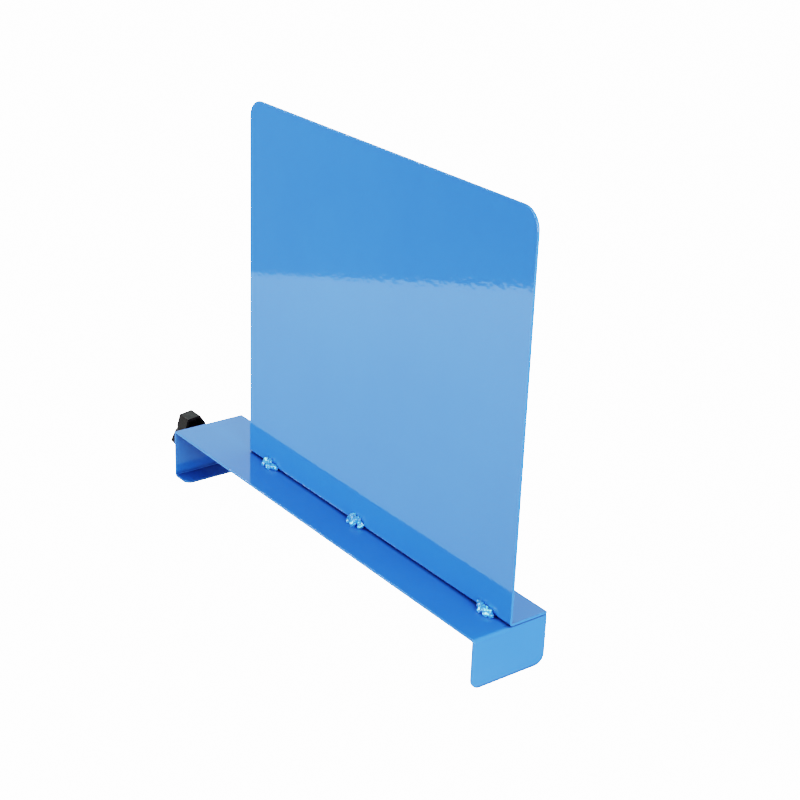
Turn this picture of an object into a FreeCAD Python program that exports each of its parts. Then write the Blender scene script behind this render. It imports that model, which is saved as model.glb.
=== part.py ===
"""Clamp-on sheet-steel shield.

A folded steel bracket lies across a shelf or tray and hooks over both of its edges. An upright
panel with a folded foot stands on the bracket and is tack-welded to it. A three-lobed knob drives
an M8 stud through a weld nut in the hooked end, and its swivelling thrust pad clamps the shelf.

Frame, in millimetres: X runs along the bracket with the knob at -X, Y runs from the front ledge
to the folded foot, Z is up. The origin is the middle of the bracket's underside, which is the
face that lies on the shelf.
"""

import FreeCAD
import Part

import math
import os

from FreeCAD import Vector

# Sheet steel
SHEET = 2.0              # thickness of both folded sheets
BEND_INNER = 0.6         # inside radius of every fold
EDGE_ROUND = 0.4         # deburred and powder-coated edges

# Bracket
SPAN = 402.0             # clear width between the two down-turned flanges
WIDTH = 66.0             # front edge to rear edge
PLAIN_DEPTH = 40.0       # top face to the lower edge of the plain flange
PLAIN_CORNER = 8.0       # lower corners of the plain flange
HOOK_DEPTH = 43.0        # top face to the underside of the hook at the knob's end
HOOK_LENGTH = 20.0       # turned-in lip, measured over the flange
HOOK_CORNER = 7.0        # free corners of the lip

# Upright panel and its foot
PANEL_LENGTH = 336.0     # flush with the bracket's plain end
PANEL_HEIGHT = 298.0     # above the bracket's top face, so 300 above the shelf
PANEL_CORNER = 15.0
FOOT_DEPTH = 34.0        # panel's front face to the foot's rear edge

# Hand-made tack welds, spaced unevenly, in distances from the bracket's plain end
FRONT_TACKS = (303.0, 182.5, 26.0)
REAR_TACKS = (280.0, 90.0)
REAR_TACK_LENGTH = 12.0
# Each lump of molten metal: along the seam, out from the panel, up from the ledge, radius
TACK_LUMPS_LEFT = (
    (-7.6, 0.6, 2.4, 2.4),
    (-4.2, 1.1, 3.9, 3.0),
    (-0.5, 1.3, 3.8, 3.1),
    (-4.5, 3.8, 1.3, 2.6),
    (2.0, 3.7, 1.8, 2.9),
    (5.6, 2.0, 2.2, 2.6),
    (8.3, 0.8, 1.6, 2.0),
)
TACK_LUMPS_MIDDLE = (
    (-7.0, 1.0, 2.2, 2.6),
    (-2.6, 1.2, 4.8, 3.1),
    (3.2, 1.4, 5.0, 3.2),
    (-4.6, 4.0, 1.4, 2.5),
    (1.2, 4.0, 1.9, 2.9),
    (0.5, 2.4, 3.5, 3.2),
    (7.2, 1.4, 2.5, 2.9),
)
TACK_LUMPS_RIGHT = (
    (-7.2, 0.7, 4.4, 2.3),
    (-4.0, 1.4, 3.7, 3.0),
    (0.6, 2.4, 2.9, 3.1),
    (-1.8, 4.1, 1.2, 2.3),
    (4.0, 4.0, 1.5, 2.6),
    (5.4, 1.8, 2.3, 2.8),
    (8.2, 2.2, 1.2, 2.1),
)

# Clamping screw, an M8 stud with a pitch of 1.25
SCREW_DROP = 18.0        # axis below the bracket's underside
STUD_RADIUS = 4.0
STUD_LENGTH = 30.0       # from the knob's hub to the tip
STUD_BURIED = 12.0       # plain length moulded into the knob, before the head
STUD_CHAMFER = 1.0
HEX_HEAD_FLATS = 13.0
HEX_HEAD_HEIGHT = 5.3
TIP_RADIUS = 2.75        # turned-down tip that the thrust pad snaps onto
TIP_LENGTH = 3.5
RUNNING_GAP = 0.05       # radial, stud in nut and tip in pad
HUB_STAND_OFF = 15.5     # hub to flange with the clamp as shown, nearly wound out

# Weld nut
NUT_FLATS = 14.0
NUT_HEIGHT = 6.5
NUT_CHAMFER = 0.8
PILOT_RADIUS = 5.25      # collar that centres the nut in the flange's hole
PILOT_LENGTH = 1.2
PILOT_GAP = 0.1

# Three-lobed knob
KNOB_TIP = 17.6          # axis to the flat end of a lobe
KNOB_TIP_WIDTH = 12.2
KNOB_WAIST = 12.2        # axis to the middle of a side
KNOB_LOBE_ANGLE = 24.5   # a lobe's flank, from the lobe's own axis
KNOB_FLANK = 10.3        # straight part of a flank
KNOB_THICKNESS = 16.5
KNOB_ROUND = 1.2         # upright edges of the lobes
KNOB_CHAMFER = 1.8       # outer face
KNOB_RIM_ROUND = 0.6     # inner edge of that chamfer
KNOB_TILT = 7.7          # turn of the upper lobe towards the front, as stored
HUB_RADIUS = 9.0
HUB_LENGTH = 4.0
POCKET_WALL = 2.2        # skin around the hollow of each lobe
POCKET_DEPTH = 9.0

# Thrust pad
PAD_RADIUS = 7.0
PAD_THICKNESS = 4.5
PAD_GAP = 0.2            # axial play between the pad and the stud's shoulder
PAD_ROUND = 0.6

# Places worked out from the sizes above
HALF = SPAN / 2 + SHEET                  # outer face of either flange
FRONT = -WIDTH / 2
REAR = WIDTH / 2
TOP = SHEET                              # bracket's top face
PLAIN_FOOT = TOP - PLAIN_DEPTH           # lower edge of the plain flange
HOOK_FOOT = TOP - HOOK_DEPTH             # underside of the hook
LIP_END = -HALF + HOOK_LENGTH            # free edge of the lip
PANEL_FRONT = REAR - FOOT_DEPTH          # panel's front face
SCREW_Z = -SCREW_DROP
HUB_X = -HALF - HUB_STAND_OFF            # face of the knob's hub
GRIP_X = HUB_X - HUB_LENGTH              # inner face of the knob's lobes
KNOB_END_X = GRIP_X - KNOB_THICKNESS     # outer face of the knob
STUD_END_X = HUB_X + STUD_LENGTH
SHOULDER_X = STUD_END_X - TIP_LENGTH
HEAD_X = HUB_X - STUD_BURIED             # inner face of the moulded-in head
ALONG = Vector(1, 0, 0)


def rod(x_start, x_end, radius):
    """A cylinder on the screw's axis."""
    return Part.makeCylinder(radius, x_end - x_start, Vector(x_start, 0, SCREW_Z), ALONG)


def hexagon(x_start, x_end, across_flats):
    """A hexagonal bar on the screw's axis, with a corner at the top."""
    reach = across_flats / math.sqrt(3)
    corners = []
    for side in range(7):
        angle = math.radians(90 + 60 * side)
        corners.append(Vector(x_start, reach * math.cos(angle), SCREW_Z + reach * math.sin(angle)))
    return Part.Face(Part.makePolygon(corners)).extrude(ALONG * (x_end - x_start))


def folded_outline(corners, thickness, inner_radius):
    """The closed outline of a folded sheet, from the corners of its middle line.

    Each corner becomes two concentric arcs, so the sheet keeps its thickness round the fold.
    """
    middle_radius = inner_radius + thickness / 2

    def side(offset):
        edges = []
        here = None
        for index in range(len(corners)):
            point = corners[index]
            if 0 < index < len(corners) - 1:
                arrive = (point - corners[index - 1]).normalize()
                leave = (corners[index + 1] - point).normalize()
                turn = arrive.cross(leave).y        # outlines lie in the XZ plane
                angle = arrive.getAngle(leave)
                back = middle_radius * math.tan(angle / 2)
                arrive_normal = Vector(arrive.z, 0, -arrive.x)
                leave_normal = Vector(leave.z, 0, -leave.x)
                begin = point - arrive * back
                centre = begin - arrive_normal * middle_radius * math.copysign(1, -turn)
                middle = point - centre
                radius = middle_radius + offset * math.copysign(1, -turn)
                first = begin + arrive_normal * offset
                last = point + leave * back + leave_normal * offset
                top = centre + middle.normalize() * radius
                edges.append(Part.LineSegment(here, first).toShape())
                edges.append(Part.Arc(first, top, last).toShape())
                here = last
            else:
                neighbour = corners[1] if index == 0 else corners[-2]
                away = (neighbour - point).normalize() * (1 if index == 0 else -1)
                place = point + Vector(away.z, 0, -away.x) * offset
                if index > 0:
                    edges.append(Part.LineSegment(here, place).toShape())
                here = place
        return edges

    outer = side(thickness / 2)
    inner = side(-thickness / 2)
    ends = []
    for index, end in ((0, 0), (-1, 1)):
        start = outer[index].valueAt(outer[index].ParameterRange[end])
        finish = inner[index].valueAt(inner[index].ParameterRange[end])
        ends.append(Part.LineSegment(start, finish).toShape())
    return Part.Wire(Part.__sortEdges__(outer + inner + ends))


def edges_where(shape, test):
    """The edges whose middle passes a test of position and direction."""
    found = []
    for edge in shape.Edges:
        first, last = edge.ParameterRange
        middle = edge.valueAt((first + last) / 2)
        along = edge.tangentAt((first + last) / 2)
        if test(middle, along):
            found.append(edge)
    return found


def sharp_edges(shape):
    """The edges where two faces meet at an angle, leaving out the seams of smooth folds."""
    found = []
    for edge in shape.Edges:
        faces = shape.ancestorsOfType(edge, Part.Face)
        if len(faces) != 2:
            continue
        first, last = edge.ParameterRange
        point = edge.valueAt((first + last) / 2)
        normals = [face.normalAt(*face.Surface.parameter(point)) for face in faces]
        if abs(normals[0].getAngle(normals[1])) > math.radians(20):
            found.append(edge)
    return found


def make_bracket():
    """One strip folded down at both ends and turned in again under the knob."""
    level = TOP - SHEET / 2
    plain_end = HALF - SHEET / 2
    hook_level = HOOK_FOOT + SHEET / 2
    middle_line = [
        Vector(plain_end, FRONT, PLAIN_FOOT),
        Vector(plain_end, FRONT, level),
        Vector(-plain_end, FRONT, level),
        Vector(-plain_end, FRONT, hook_level),
        Vector(LIP_END, FRONT, hook_level),
    ]
    outline = folded_outline(middle_line, SHEET, BEND_INNER)
    bracket = Part.Face(outline).extrude(Vector(0, WIDTH, 0))
    plain_corners = edges_where(
        bracket,
        lambda at, along: abs(along.x) > 0.99 and at.x > HALF - SHEET and at.z < PLAIN_FOOT + 0.1,
    )
    bracket = bracket.makeFillet(PLAIN_CORNER, plain_corners)
    lip_corners = edges_where(
        bracket,
        lambda at, along: abs(along.z) > 0.99 and abs(at.x - LIP_END) < 0.1,
    )
    bracket = bracket.makeFillet(HOOK_CORNER, lip_corners)
    bracket = bracket.makeFillet(EDGE_ROUND, sharp_edges(bracket))
    return bracket.cut(rod(-HALF - 1, -HALF + SHEET + 1, PILOT_RADIUS + PILOT_GAP))


def make_panel():
    """The upright screen with the foot that is folded back from its lower edge."""
    middle_line = [
        Vector(REAR, 0, TOP + SHEET / 2),
        Vector(PANEL_FRONT + SHEET / 2, 0, TOP + SHEET / 2),
        Vector(PANEL_FRONT + SHEET / 2, 0, TOP + PANEL_HEIGHT),
    ]
    outline = folded_outline(middle_line, SHEET, BEND_INNER)
    panel = Part.Face(outline).extrude(Vector(0, PANEL_LENGTH, 0))
    # The outline is drawn in XZ, so the sheet is turned a quarter to face the front.
    panel.rotate(Vector(0, 0, 0), Vector(0, 0, 1), 90)
    panel.translate(Vector(HALF, 0, 0))
    corners = edges_where(
        panel,
        lambda at, along: abs(along.y) > 0.99 and at.z > TOP + PANEL_HEIGHT - 0.1,
    )
    panel = panel.makeFillet(PANEL_CORNER, corners)
    return panel.makeFillet(EDGE_ROUND, sharp_edges(panel))


def make_front_tack(middle_x, lumps, sheets):
    """A tack weld in the corner between the panel and the ledge in front of it."""
    balls = []
    for along, out, up, radius in lumps:
        balls.append(Part.makeSphere(radius, Vector(middle_x + along, PANEL_FRONT - out, TOP + up)))
    bead = balls[0].multiFuse(balls[1:])
    reach = 40.0
    corner = Vector(middle_x - reach / 2, PANEL_FRONT + SHEET / 2 - reach, TOP - SHEET / 2)
    in_front = Part.makeBox(reach, reach, reach, corner)
    bead = bead.common(in_front)
    for sheet in sheets:
        bead = bead.cut(sheet)
    return max(bead.Solids, key=lambda solid: solid.Volume)


def make_rear_tack(middle_x, length, sheets):
    """A short edge weld across the flush rear edges of the foot and the bracket."""
    height = 1.7
    radius = 2.1
    start = Vector(middle_x - length / 2, REAR, TOP)
    bead = Part.makeCylinder(radius, length, start, ALONG)
    for end in (0, length):
        bead = bead.fuse(Part.makeSphere(radius, start + ALONG * end))
    corner = Vector(start.x - 2 * radius, REAR - EDGE_ROUND, TOP - height)
    behind = Part.makeBox(length + 4 * radius, 2 * radius, 2 * height, corner)
    bead = bead.common(behind)
    for sheet in sheets:
        bead = bead.cut(sheet)
    return max(bead.Solids, key=lambda solid: solid.Volume)


def make_weld_nut():
    """An M8 hexagon weld nut on the inner face of the hooked flange."""
    face = -HALF + SHEET
    nut = hexagon(face, face + NUT_HEIGHT, NUT_FLATS)
    turned = rod(face, face + NUT_HEIGHT, NUT_FLATS / math.sqrt(3) - 0.1)
    rim = edges_where(turned, lambda at, along: at.x > face + NUT_HEIGHT - 0.1)
    nut = nut.common(turned.makeChamfer(NUT_CHAMFER, rim))
    nut = nut.fuse(rod(face - PILOT_LENGTH, face, PILOT_RADIUS))
    return nut.cut(rod(face - PILOT_LENGTH, face + NUT_HEIGHT, STUD_RADIUS + RUNNING_GAP))


def make_stud():
    """The M8 stud, with a hexagon head moulded into the knob and a turned-down tip."""
    shank = rod(HEAD_X, SHOULDER_X, STUD_RADIUS)
    rim = edges_where(shank, lambda at, along: at.x > SHOULDER_X - 0.1)
    shank = shank.makeChamfer(STUD_CHAMFER / 2, rim)
    tip = rod(SHOULDER_X, STUD_END_X, TIP_RADIUS)
    rim = edges_where(tip, lambda at, along: at.x > STUD_END_X - 0.1)
    tip = tip.makeChamfer(STUD_CHAMFER / 2, rim)
    head = hexagon(HEAD_X - HEX_HEAD_HEIGHT, HEAD_X, HEX_HEAD_FLATS)
    return shank.fuse([tip, head]).removeSplitter()


def make_pad():
    """The swivelling thrust pad that meets the shelf's edge and doesn't turn with the stud."""
    back = SHOULDER_X + PAD_GAP
    pad = rod(back, back + PAD_THICKNESS, PAD_RADIUS)
    pad = pad.makeFillet(PAD_ROUND, edges_where(pad, lambda at, along: abs(along.x) < 0.5))
    return pad.cut(rod(back, STUD_END_X + PAD_GAP, TIP_RADIUS + RUNNING_GAP))


def lobed_outline(inset):
    """The knob's outline across its axis: three lobes with flat ends and slightly hollow sides."""
    flank = math.radians(KNOB_LOBE_ANGLE)
    half_tip = KNOB_TIP_WIDTH / 2
    points = []
    for lobe in range(3):
        axis = math.radians(90 + KNOB_TILT + 120 * lobe)

        def place(out, across):
            return Vector(
                0,
                out * math.cos(axis) - across * math.sin(axis),
                out * math.sin(axis) + across * math.cos(axis),
            )

        inner_out = KNOB_TIP - KNOB_FLANK * math.cos(flank)
        inner_across = half_tip + KNOB_FLANK * math.sin(flank)
        points.append(place(inner_out, -inner_across))
        points.append(place(KNOB_TIP, -half_tip))
        points.append(place(KNOB_TIP, half_tip))
        points.append(place(inner_out, inner_across))
    edges = []
    for lobe in range(3):
        low, near, far, high = points[4 * lobe : 4 * lobe + 4]
        following = points[(4 * lobe + 4) % 12]
        waist_angle = math.radians(90 + KNOB_TILT + 120 * lobe + 60)
        waist = Vector(0, KNOB_WAIST * math.cos(waist_angle), KNOB_WAIST * math.sin(waist_angle))
        edges.append(Part.LineSegment(low, near).toShape())
        edges.append(Part.LineSegment(near, far).toShape())
        edges.append(Part.LineSegment(far, high).toShape())
        edges.append(Part.Arc(high, waist, following).toShape())
    outline = Part.Wire(edges)
    if inset:
        outline = outline.makeOffset2D(-inset)
    return outline


def make_knob(stud):
    """The moulded knob: lobed grip, hub, and a hollow in the underside of each lobe."""
    grip = Part.Face(lobed_outline(0)).extrude(ALONG * KNOB_THICKNESS)
    grip.translate(Vector(KNOB_END_X, 0, SCREW_Z))
    rim = edges_where(grip, lambda at, along: at.x < KNOB_END_X + 0.01)
    grip = grip.makeChamfer(KNOB_CHAMFER, rim)
    corners = []
    for edge in sharp_edges(grip):
        at = edge.CenterOfMass
        crosses_rim = abs(edge.tangentAt(edge.FirstParameter).x) > 0.3
        if crosses_rim and math.hypot(at.y, at.z - SCREW_Z) > KNOB_TIP - KNOB_CHAMFER - 0.5:
            corners.append(edge)
    grip = grip.makeFillet(KNOB_ROUND, corners)
    rim = [edge for edge in sharp_edges(grip) if edge.CenterOfMass.x < KNOB_END_X + 0.1]
    grip = grip.makeFillet(KNOB_RIM_ROUND, rim)
    hollow = Part.Face(lobed_outline(POCKET_WALL)).extrude(ALONG * POCKET_DEPTH)
    hollow.translate(Vector(GRIP_X - POCKET_DEPTH, 0, SCREW_Z))
    core = rod(KNOB_END_X, HUB_X, HUB_RADIUS)
    grip = grip.cut(hollow.cut(core))
    hub = rod(GRIP_X - POCKET_DEPTH - 1, HUB_X, HUB_RADIUS)
    hub = hub.makeFillet(1.0, edges_where(hub, lambda at, along: at.x > HUB_X - 0.01))
    knob = grip.fuse(hub).removeSplitter()
    return knob.cut(stud)


def main():
    bracket = make_bracket()
    panel = make_panel()
    sheets = (bracket, panel)
    stud = make_stud()
    front_tacks = {
        "left": (FRONT_TACKS[0], TACK_LUMPS_LEFT),
        "middle": (FRONT_TACKS[1], TACK_LUMPS_MIDDLE),
        "right": (FRONT_TACKS[2], TACK_LUMPS_RIGHT),
    }
    nodes = {
        "base_bracket": bracket,
        "upright_panel": panel,
        "weld_nut": make_weld_nut(),
        "clamp_stud": stud,
        "knob_grip": make_knob(stud),
        "thrust_pad": make_pad(),
    }
    for name, (inset, lumps) in front_tacks.items():
        nodes["front_tack_weld_" + name] = make_front_tack(HALF - inset, lumps, sheets)
    for name, inset in (("left", REAR_TACKS[0]), ("right", REAR_TACKS[1])):
        nodes["rear_tack_weld_" + name] = make_rear_tack(HALF - inset, REAR_TACK_LENGTH, sheets)
    os.makedirs("parts", exist_ok=True)
    for name, shape in nodes.items():
        shape.exportStep(os.path.join("parts", name + ".step"))
        state = "valid" if shape.isValid() else "NOT VALID"
        print(f"{name}: {len(shape.Solids)} solid, {shape.Volume / 1000:.3f} cm3, {state}")


main()
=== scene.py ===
"""Looks of the clamp-on sheet-steel shield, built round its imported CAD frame."""

import math

import bmesh
import bpy
from mathutils import Matrix, Vector, noise


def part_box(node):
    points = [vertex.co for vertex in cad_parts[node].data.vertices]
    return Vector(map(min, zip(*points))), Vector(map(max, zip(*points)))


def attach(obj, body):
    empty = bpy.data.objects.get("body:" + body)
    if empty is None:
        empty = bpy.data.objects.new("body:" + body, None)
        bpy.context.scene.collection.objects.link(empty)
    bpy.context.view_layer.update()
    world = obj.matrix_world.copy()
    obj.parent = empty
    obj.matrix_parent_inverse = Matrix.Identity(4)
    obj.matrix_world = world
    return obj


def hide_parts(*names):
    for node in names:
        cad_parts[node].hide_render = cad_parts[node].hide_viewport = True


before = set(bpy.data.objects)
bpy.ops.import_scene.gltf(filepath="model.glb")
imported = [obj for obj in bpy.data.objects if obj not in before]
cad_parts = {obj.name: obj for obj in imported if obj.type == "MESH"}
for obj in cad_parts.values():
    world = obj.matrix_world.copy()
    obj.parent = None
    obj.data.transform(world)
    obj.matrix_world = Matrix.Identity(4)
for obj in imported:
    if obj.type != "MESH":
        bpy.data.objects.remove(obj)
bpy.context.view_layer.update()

MM = 0.001

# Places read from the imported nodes, in metres
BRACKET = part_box("base_bracket")
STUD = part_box("clamp_stud")
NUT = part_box("weld_nut")
FLOOR_Z = BRACKET[0][2]
TOP_Z = BRACKET[1][2]
SCREW_Z = (NUT[0][2] + NUT[1][2]) / 2
PLAIN_END = BRACKET[1][0]

# Sizes of the M8 stud, in metres
PITCH = 1.25 * MM
THREAD_MAJOR = 3.95 * MM
THREAD_MINOR = 3.25 * MM
TIP_RADIUS = 2.75 * MM
TIP_LENGTH = 3.5 * MM
HEAD_HEIGHT = 5.3 * MM
HEAD_FLATS = 13.0 * MM
CHAMFER = 0.5 * MM
STEP = 0.01 * MM
SHARP_EDGE = math.radians(38)

# How far the coat looks for what shades it, in metres, and the share of its colour left in the shade
CREVICE_REACH = 5.0 * MM
CREVICE_LEFT = 0.32
HOOK_REACH = 60.0 * MM
HOOK_LEFT = 0.42

# Scales of the coat's orange peel: its waves, and the fine texture on them
PEEL_WAVES = 340.0
PEEL_TEXTURE = 1900.0

BEAD_VOXEL = 0.22 * MM

FRONT_WELDS = ("front_tack_weld_left", "front_tack_weld_middle", "front_tack_weld_right")


# ---------------------------------------------------------------- node helpers


class Tree:
    """Short calls for building a node tree."""

    def __init__(self, owner):
        owner.use_nodes = True
        self.tree = owner.node_tree
        self.tree.nodes.clear()

    def add(self, kind, inputs=None, **settings):
        node = self.tree.nodes.new(kind)
        for name, value in settings.items():
            setattr(node, name, value)
        for name, value in (inputs or {}).items():
            if isinstance(value, bpy.types.NodeSocket):
                self.tree.links.new(value, node.inputs[name])
            else:
                node.inputs[name].default_value = value
        return node

    def noise(self, vector, scale, detail=2.0, roughness=0.5):
        inputs = {"Vector": vector, "Scale": scale, "Detail": detail, "Roughness": roughness}
        return self.add("ShaderNodeTexNoise", inputs).outputs["Fac"]

    def remap(self, value, low, high, to_low, to_high):
        inputs = {"Value": value, 1: low, 2: high, 3: to_low, 4: to_high}
        return self.add("ShaderNodeMapRange", inputs, clamp=True).outputs["Result"]

    def math(self, operation, first, second):
        inputs = {0: first, 1: second}
        return self.add("ShaderNodeMath", inputs, operation=operation).outputs[0]

    def blend(self, factor, first, second):
        node = self.add("ShaderNodeMix", {"Factor": factor}, data_type="RGBA")
        for socket, value in ((node.inputs[6], first), (node.inputs[7], second)):
            if isinstance(value, bpy.types.NodeSocket):
                self.tree.links.new(value, socket)
            else:
                socket.default_value = (*value, 1.0)
        return node.outputs[2]

    def bump(self, height, distance, below=None):
        inputs = {"Height": height, "Distance": distance, "Strength": 1.0}
        if below is not None:
            inputs["Normal"] = below
        return self.add("ShaderNodeBump", inputs).outputs["Normal"]


def object_coordinates(tree):
    return tree.add("ShaderNodeTexCoord").outputs["Object"]


def crevice_light(tree, place, low, high, own_shape_only):
    """1 in the open and 0 in the narrow gaps between sheets, above the shelf's level only."""
    occlusion = tree.add("ShaderNodeAmbientOcclusion", {"Distance": CREVICE_REACH}, samples=8)
    occlusion.only_local = own_shape_only
    split = tree.add("ShaderNodeSeparateXYZ", {0: place})
    light = tree.remap(occlusion.outputs["AO"], low, high, 0.0, 1.0)
    # The foot overhangs the plain end's bend, which is in deep shade there.
    overhung = tree.remap(occlusion.outputs["AO"], 0.55, 0.95, 0.0, 1.0)
    inboard = tree.remap(split.outputs["X"], PLAIN_END - 4.0 * MM, PLAIN_END - 3.0 * MM, 1.0, 0.0)
    light = tree.math("MINIMUM", light, tree.math("MAXIMUM", overhung, inboard))
    below = tree.remap(split.outputs["Z"], -2.5 * MM, -1.5 * MM, 1.0, 0.0)
    return tree.math("MAXIMUM", light, below)


def weld_toe_light(tree, place, light):
    """A weld's toe runs smoothly into the sheet, so nothing shades the sheet round it."""
    for node in FRONT_WELDS:
        corner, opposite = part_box(node)
        centre = (Vector(corner) + Vector(opposite)) / 2
        reach = (opposite[0] - corner[0]) / 2
        away = tree.add("ShaderNodeVectorMath", {0: place, 1: centre}, operation="DISTANCE")
        near = tree.remap(away.outputs["Value"], reach * 0.85, reach * 1.1, 1.0, 0.0)
        light = tree.math("MAXIMUM", light, near)
    return light


def hook_light(tree, place):
    """Less than 1 low inside the hook, where the strip overhead shuts out the light."""
    overhead = tree.add("ShaderNodeAmbientOcclusion", {"Distance": HOOK_REACH}, samples=8).outputs["AO"]
    height = tree.add("ShaderNodeSeparateXYZ", {0: place}).outputs["Z"]
    above = tree.remap(height, -39.0 * MM, -35.0 * MM, 0.0, 1.0)
    return tree.math("MAXIMUM", tree.remap(overhead, 0.25, 0.85, 0.0, 1.0), above)


def powder_coat(name, colour, deeper, peel, roughness=0.035, gap=(0.40, 0.70), painted_glints=None):
    """Glossy polyester powder on steel: colour drift, orange peel, and shade in the gaps."""
    material = bpy.data.materials.new(name)
    tree = Tree(material)
    place = object_coordinates(tree)
    drift = tree.remap(tree.noise(place, 9.0, 3.0), 0.35, 0.65, 0.0, 1.0)
    speckle = tree.remap(tree.noise(place, 2600.0, 1.0), 0.3, 0.7, 0.0, 1.0)
    base = tree.blend(drift, colour, deeper)
    shade = tuple(c * 0.93 for c in colour)
    base = tree.blend(tree.remap(speckle, 0.0, 1.0, 0.0, 0.35), base, shade)
    if painted_glints is not None:
        # Painted highlights: small pale patches put into the weld coat's colour at random, standing in
        # for light caught by its lumps and ripples.
        glint_mask = tree.remap(tree.noise(place, 330.0, 1.0), 0.60, 0.67, 0.0, 1.0)
        base = tree.blend(glint_mask, base, painted_glints)
    light = crevice_light(tree, place, *gap, own_shape_only=painted_glints is not None)
    if painted_glints is None:
        light = weld_toe_light(tree, place, light)
    base = tree.blend(light, tuple(c * CREVICE_LEFT for c in colour), base)
    base = tree.blend(hook_light(tree, place), tuple(c * HOOK_LEFT for c in colour), base)
    wave = tree.noise(place, PEEL_WAVES, 0.0)
    fine = tree.noise(place, PEEL_TEXTURE, 1.0)
    normal = tree.bump(wave, peel)
    normal = tree.bump(fine, peel * 0.008, normal)
    gloss = tree.remap(tree.noise(place, 60.0, 3.0), 0.3, 0.7, roughness * 0.8, roughness * 1.25)
    shader = tree.add(
        "ShaderNodeBsdfPrincipled",
        {
            "Base Color": base,
            "Roughness": gloss,
            "IOR": 1.5,
            "Coat Weight": 0.25,
            "Coat Roughness": 0.02,
            "Coat IOR": 1.5,
            "Normal": normal,
        },
    )
    tree.add("ShaderNodeOutputMaterial", {"Surface": shader.outputs[0]})
    return material


def moulded_plastic(name, colour, roughness, grain):
    """Black moulded plastic: a sparked grain, and scuffs that leave it a little lighter."""
    material = bpy.data.materials.new(name)
    tree = Tree(material)
    place = object_coordinates(tree)
    scuff = tree.remap(tree.noise(place, 240.0, 4.0, 0.6), 0.5, 0.72, 0.0, 0.5)
    base = tree.blend(scuff, colour, tuple(c * 1.7 for c in colour))
    sparked = tree.noise(place, 3200.0, 2.0, 0.6)
    flow = tree.noise(place, 260.0, 2.0)
    normal = tree.bump(sparked, grain)
    normal = tree.bump(flow, grain * 2.0, normal)
    gloss = tree.remap(flow, 0.3, 0.7, roughness - 0.05, roughness + 0.07)
    shader = tree.add(
        "ShaderNodeBsdfPrincipled",
        {"Base Color": base, "Roughness": gloss, "IOR": 1.42, "Normal": normal},
    )
    tree.add("ShaderNodeOutputMaterial", {"Surface": shader.outputs[0]})
    return material


def zinc_plate(name):
    """Bright zinc with a faint straw and blue bloom and fine turning marks."""
    material = bpy.data.materials.new(name)
    tree = Tree(material)
    place = object_coordinates(tree)
    bloom = tree.remap(tree.noise(place, 320.0, 3.0), 0.35, 0.65, 0.0, 1.0)
    base = tree.blend(bloom, (0.60, 0.61, 0.64), (0.66, 0.63, 0.55))
    turned = tree.add(
        "ShaderNodeTexWave",
        {"Vector": place, "Scale": 2400.0, "Distortion": 1.5, "Detail": 1.0},
        bands_direction="X",
    ).outputs["Fac"]
    gloss = tree.remap(tree.noise(place, 900.0, 2.0), 0.3, 0.7, 0.22, 0.36)
    shader = tree.add(
        "ShaderNodeBsdfPrincipled",
        {
            "Base Color": base,
            "Metallic": 1.0,
            "Roughness": gloss,
            "Normal": tree.bump(turned, 0.004 * MM),
        },
    )
    tree.add("ShaderNodeOutputMaterial", {"Surface": shader.outputs[0]})
    return material


BLUE = (0.045, 0.156, 0.511)
blue_sheet = powder_coat("blue_powder_coat", BLUE, (0.041, 0.147, 0.494), 0.028 * MM)
# Painted sheen: the welds' coat is the sheet's blue made lighter, and it carries pale painted glints.
blue_bead = powder_coat(
    "blue_coated_weld",
    (0.060, 0.220, 0.580),
    (0.050, 0.190, 0.540),
    0.02 * MM,
    roughness=0.08,
    gap=(0.06, 0.45),
    painted_glints=(0.30, 0.80, 1.0),
)
black_knob = moulded_plastic("black_knob_plastic", (0.014, 0.009, 0.008), 0.38, 0.006 * MM)
black_pad = moulded_plastic("black_pad_plastic", (0.016, 0.016, 0.017), 0.5, 0.008 * MM)
zinc = zinc_plate("zinc_plated_steel")


def wear(obj, material):
    """Gives every slot of an object one material."""
    if not obj.material_slots:
        obj.data.materials.append(material)
    for slot in obj.material_slots:
        slot.material = material


for name in ("base_bracket", "upright_panel", "weld_nut"):
    wear(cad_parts[name], blue_sheet)
wear(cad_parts["knob_grip"], black_knob)
wear(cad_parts["thrust_pad"], black_pad)


# ---------------------------------------------------------------- mesh pieces


def piece(name, mesh, body, material, slot, *nodes):
    """A mesh that rides on a body in place of the CAD nodes named."""
    obj = bpy.data.objects.new(name, mesh)
    bpy.context.scene.collection.objects.link(obj)
    wear(obj, material)
    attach(obj, body)
    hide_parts(*nodes)
    return obj


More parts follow.
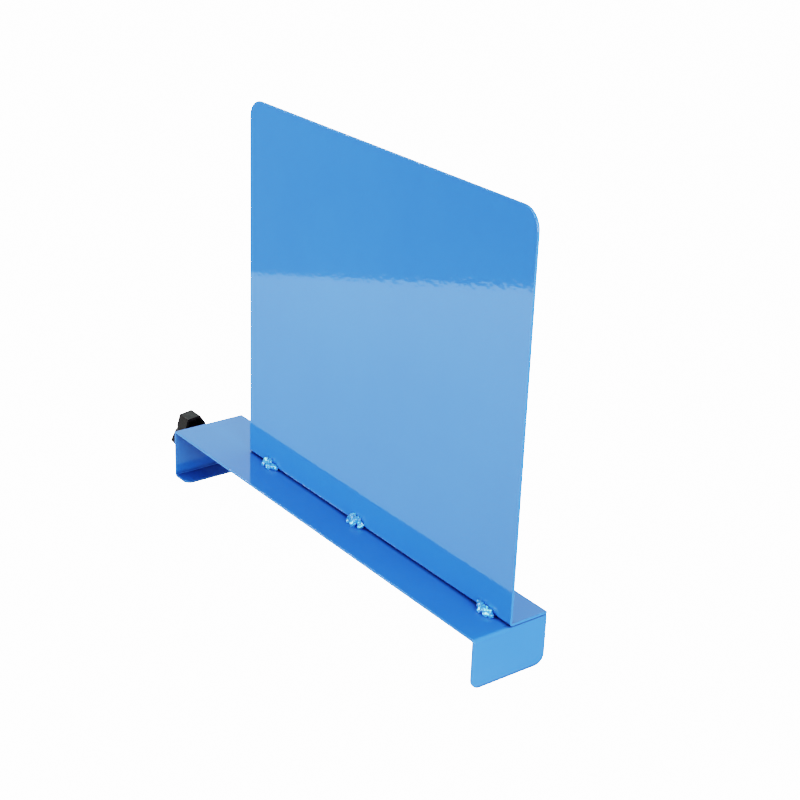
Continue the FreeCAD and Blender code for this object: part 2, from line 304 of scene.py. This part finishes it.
def threaded_stud():
    """The stud turned as rings along X: head, rolled M8 thread, run-outs and the pad's tip."""
    around = 56
    per_pitch = 10
    flank, root = 1.75, 0.35
    run_out_length = 0.9 * PITCH
    head_end = STUD[0][0] + HEAD_HEIGHT
    shoulder = STUD[1][0] - TIP_LENGTH

    def hexagon_radius(angle):
        wedge = (angle + math.pi / 6) % (math.pi / 3) - math.pi / 6
        return HEAD_FLATS / 2 / math.cos(wedge)

    def thread_radius(x, angle):
        phase = (x / PITCH - angle / math.tau) % 1.0
        height = min(1.0, max(0.0, flank * abs(2 * phase - 1) - root))
        run_out = min(1.0, (shoulder - x) / run_out_length, (x - head_end) / PITCH)
        crest = THREAD_MINOR + (THREAD_MAJOR - THREAD_MINOR) * max(0.0, run_out)
        return min(crest, THREAD_MINOR + (THREAD_MAJOR - THREAD_MINOR) * height)

    rings = [
        (STUD[0][0], lambda a: hexagon_radius(a) - CHAMFER),
        (STUD[0][0] + CHAMFER, hexagon_radius),
        (head_end - STEP, hexagon_radius),
    ]
    count = round((shoulder - head_end) / PITCH * per_pitch)
    for step in range(count + 1):
        x = head_end + (shoulder - head_end) * step / count
        rings.append((x, lambda a, x=x: thread_radius(x, a)))
    rings.append((shoulder + STEP, lambda a: TIP_RADIUS))
    rings.append((STUD[1][0] - CHAMFER, lambda a: TIP_RADIUS))
    rings.append((STUD[1][0], lambda a: TIP_RADIUS - CHAMFER))

    mesh = bpy.data.meshes.new("clamp_stud_threaded")
    bm = bmesh.new()
    previous = None
    for x, radius in rings:
        ring = []
        for step in range(around):
            angle = math.tau * step / around
            r = radius(angle)
            ring.append(bm.verts.new((x, r * math.sin(angle), SCREW_Z + r * math.cos(angle))))
        if previous is None:
            bm.faces.new(ring)
        else:
            for a in range(around):
                b = (a + 1) % around
                bm.faces.new((previous[a], previous[b], ring[b], ring[a]))
        previous = ring
    bm.faces.new(previous[::-1])
    bmesh.ops.recalc_face_normals(bm, faces=bm.faces)
    for face in bm.faces:
        face.smooth = True
    for edge in bm.edges:
        edge.smooth = len(edge.link_faces) == 2 and edge.calc_face_angle(0.0) < SHARP_EDGE
    bm.to_mesh(mesh)
    bm.free()
    return mesh


def applied(obj, name):
    """The mesh of an object with its modifiers in place."""
    graph = bpy.context.evaluated_depsgraph_get()
    mesh = bpy.data.meshes.new_from_object(obj.evaluated_get(graph))
    mesh.name = name
    return mesh


def weld_bead(node, seed, ripple, lump):
    """A tack weld under powder: the CAD lumps melted together, with ripples and small nodules."""
    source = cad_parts[node]
    work = bpy.data.objects.new(node + "_work", source.data.copy())
    bpy.context.scene.collection.objects.link(work)
    remesh = work.modifiers.new("melt", "REMESH")
    remesh.mode = "VOXEL"
    remesh.voxel_size = BEAD_VOXEL
    smooth = work.modifiers.new("flow", "SMOOTH")
    smooth.iterations = 6
    mesh = applied(work, node + "_bead")
    bpy.data.objects.remove(work)
    offset = Vector((seed * 7.31, seed * 3.17, seed * 5.93))
    bm = bmesh.new()
    bm.from_mesh(mesh)
    bm.normal_update()
    moves = []
    for vert in bm.verts:
        at = vert.co / MM
        shape = noise.noise(at * 0.55 + offset) * lump
        shape += noise.noise(at * 1.5 + offset) * lump * 0.45
        shape += math.sin(at.x * 5.2 + at.z * 2.0 + noise.noise(at * 0.8 + offset) * 3.0) * ripple
        moves.append(vert.normal * shape * MM)
    for vert, move in zip(bm.verts, moves):
        vert.co += move
    axes = {"use_axis_x": True, "use_axis_y": True, "use_axis_z": True}
    bmesh.ops.smooth_vert(bm, verts=bm.verts, factor=0.5, **axes)
    for face in bm.faces:
        face.smooth = True
    bm.to_mesh(mesh)
    bm.free()
    return mesh


piece("clamp_stud_threaded", threaded_stud(), "screw", zinc, "zinc_plated_steel", "clamp_stud")

BEADS = (
    ("front_tack_weld_left", 1, 0.04, 0.55),
    ("front_tack_weld_middle", 2, 0.04, 0.60),
    ("front_tack_weld_right", 3, 0.05, 0.60),
    ("rear_tack_weld_left", 4, 0.03, 0.05),
    ("rear_tack_weld_right", 5, 0.03, 0.05),
)
for node, seed, ripple, lump in BEADS:
    bead = weld_bead(node, seed, ripple, lump)
    piece(node + "_bead", bead, "welded_frame", blue_bead, "blue_powder_coat", node)


# ---------------------------------------------------------------- camera, floor and light

scene = bpy.context.scene
scene.view_settings.view_transform = "Filmic"
scene.view_settings.look = "Very High Contrast"

AZIMUTH = math.radians(52.508)
ELEVATION = math.radians(23.344)
ROLL = math.radians(2.179)
CAMERA_AT = Vector((0.94619, -0.67376, TOP_Z + 0.59808))
camera_data = bpy.data.cameras.new("camera")
camera_data.sensor_width = 36.0
camera_data.lens = 75.673
camera_data.clip_start = 0.05
camera_data.clip_end = 60.0
camera = bpy.data.objects.new("camera", camera_data)
scene.collection.objects.link(camera)
forward = Vector(
    (
        -math.sin(AZIMUTH) * math.cos(ELEVATION),
        math.cos(AZIMUTH) * math.cos(ELEVATION),
        -math.sin(ELEVATION),
    )
)
level = Vector((math.cos(AZIMUTH), math.sin(AZIMUTH), 0.0))
upward = level.cross(forward)
right = level * math.cos(ROLL) + upward * math.sin(ROLL)
upright = right.cross(forward)
turn = Matrix((right, upright, -forward)).transposed()
camera.matrix_world = Matrix.Translation(CAMERA_AT) @ turn.to_4x4()
scene.camera = camera


def flat_mesh(name, corners):
    """One flat face through the corners."""
    mesh = bpy.data.meshes.new(name)
    mesh.from_pydata([tuple(c) for c in corners], [], [tuple(range(len(corners)))])
    return mesh


def stage_piece(name, mesh, material, **seen_by):
    """A mesh round the object that isn't part of it, hidden from the kinds of ray set to False."""
    obj = bpy.data.objects.new(name, mesh)
    scene.collection.objects.link(obj)
    wear(obj, material)
    for ray, on in seen_by.items():
        setattr(obj, "visible_" + ray, on)
    return obj


# The coat's mirror image of white is a little cool. The camera sees the paper overexposed.
MIRRORED_WHITE = (0.92, 1.08, 1.10)
BACKGROUND_GLOW = 8.0


def floor_paper():
    """White paper that a camera below it sees through."""
    material = bpy.data.materials.new("white_paper")
    tree = Tree(material)
    paper = tree.add("ShaderNodeBsdfDiffuse", {"Color": (0.35, 0.35, 0.35, 1.0)})
    rays = tree.add("ShaderNodeLightPath")
    lift = tree.math("MULTIPLY", rays.outputs["Is Camera Ray"], BACKGROUND_GLOW)
    glow = tree.add("ShaderNodeEmission", {"Color": (1, 1, 1, 1), "Strength": lift})
    both = tree.add("ShaderNodeAddShader", {0: paper.outputs[0], 1: glow.outputs[0]})
    clear = tree.add("ShaderNodeBsdfTransparent")
    behind = tree.add("ShaderNodeNewGeometry").outputs["Backfacing"]
    mixed = tree.add("ShaderNodeMixShader", {0: behind, 1: both.outputs[0], 2: clear.outputs[0]})
    tree.add("ShaderNodeOutputMaterial", {"Surface": mixed.outputs[0]})
    return material


# The paper lies a hair under the hook, so that the two don't share a plane.
half_floor = 8.0
ground = FLOOR_Z - 0.2 * MM
floor_corners = [
    (x * half_floor, y * half_floor, ground) for x, y in ((-1, -1), (1, -1), (1, 1), (-1, 1))
]
stage_piece("floor", flat_mesh("floor", floor_corners), floor_paper(), glossy=False)


def table_glow():
    """White paper as the coat mirrors it: brighter to the front and right, dimmer by the object."""
    material = bpy.data.materials.new("mirrored_white")
    tree = Tree(material)
    place = tree.add("ShaderNodeNewGeometry").outputs["Position"]
    split = tree.add("ShaderNodeSeparateXYZ", {0: place})
    forwards = tree.remap(split.outputs["Y"], -0.6, 0.0, 2.27, 0.90)
    sideways = tree.remap(split.outputs["X"], -0.6, 0.4, -0.33, 0.22)
    sheltered = tree.remap(split.outputs["Y"], -0.09, 0.03, 1.0, 0.7)
    total = tree.math("MULTIPLY", tree.math("ADD", forwards, sideways), sheltered)
    glow = tree.add("ShaderNodeEmission", {"Color": (*MIRRORED_WHITE, 1), "Strength": total})
    tree.add("ShaderNodeOutputMaterial", {"Surface": glow.outputs[0]})
    return material


# What the coat mirrors: a white table that ends in a straight edge, and a dim room beyond it.
table_edge = Vector((-0.520, -0.4295, ground - 0.3 * MM))
half_table = 6.0
along_edge = Vector((0.6413, -0.7673, 0.0)).normalized() * half_table
inward = Vector((0.7673, 0.6413, 0.0)).normalized() * half_table * 2
table = [
    table_edge - along_edge,
    table_edge + along_edge,
    table_edge + along_edge + inward,
    table_edge - along_edge + inward,
]
stage_piece(
    "mirrored_table",
    flat_mesh("mirrored_table", table),
    table_glow(),
    camera=False,
    diffuse=False,
    shadow=False,
    transmission=False,
)


LIT_MIDDLE = Vector((0.0, 0.0, 0.1))


def area_light(name, at, width, height, power):
    """A soft box aimed at the middle of the bracket and hidden from the camera."""
    data = bpy.data.lights.new(name, "AREA")
    data.shape = "RECTANGLE"
    data.size = width
    data.size_y = height
    data.energy = power
    light = bpy.data.objects.new(name, data)
    scene.collection.objects.link(light)
    light.location = at
    light.rotation_mode = "QUATERNION"
    light.rotation_quaternion = (Vector(at) - LIT_MIDDLE).to_track_quat("Z", "Y")
    light.visible_camera = False


area_light("right_key", (1.75, -0.15, 0.53), 1.0, 1.0, 38.0)
area_light("front_fill", (-0.15, -0.85, 0.20), 0.5, 0.3, 6.2)
area_light("left_strip", (-1.46, -0.78, 1.20), 0.15, 0.6, 6.0)


def studio_world():
    """Even white light; the coat mirrors a bright backdrop behind and a dim room in front."""
    world = bpy.data.worlds.new("studio")
    tree = Tree(world)
    rays = tree.add("ShaderNodeLightPath")
    direction = tree.add("ShaderNodeTexCoord").outputs["Generated"]
    split = tree.add("ShaderNodeSeparateXYZ", {0: direction})
    forwards = tree.remap(split.outputs["Y"], -0.35, 0.15, 0.0, 1.0)
    upwards = tree.remap(split.outputs["Z"], 0.1, 0.7, 0.0, 1.0)
    bright = tree.math("MAXIMUM", forwards, upwards)
    mirrored = tree.remap(bright, 0.0, 1.0, 0.40, 0.95)
    backwards = tree.remap(split.outputs["Y"], -0.3, 0.3, 0.62, 1.15)
    even = tree.add("ShaderNodeBackground", {"Color": (1, 1, 1, 1), "Strength": backwards})
    seen = tree.add("ShaderNodeBackground", {"Color": (1, 1, 1, 1), "Strength": BACKGROUND_GLOW})
    gloss = tree.add("ShaderNodeBackground", {"Color": (*MIRRORED_WHITE, 1), "Strength": mirrored})
    first = tree.add(
        "ShaderNodeMixShader",
        {0: rays.outputs["Is Glossy Ray"], 1: even.outputs[0], 2: gloss.outputs[0]},
    )
    second = tree.add(
        "ShaderNodeMixShader",
        {0: rays.outputs["Is Camera Ray"], 1: first.outputs[0], 2: seen.outputs[0]},
    )
    tree.add("ShaderNodeOutputWorld", {"Surface": second.outputs[0]})
    scene.world = world


studio_world()
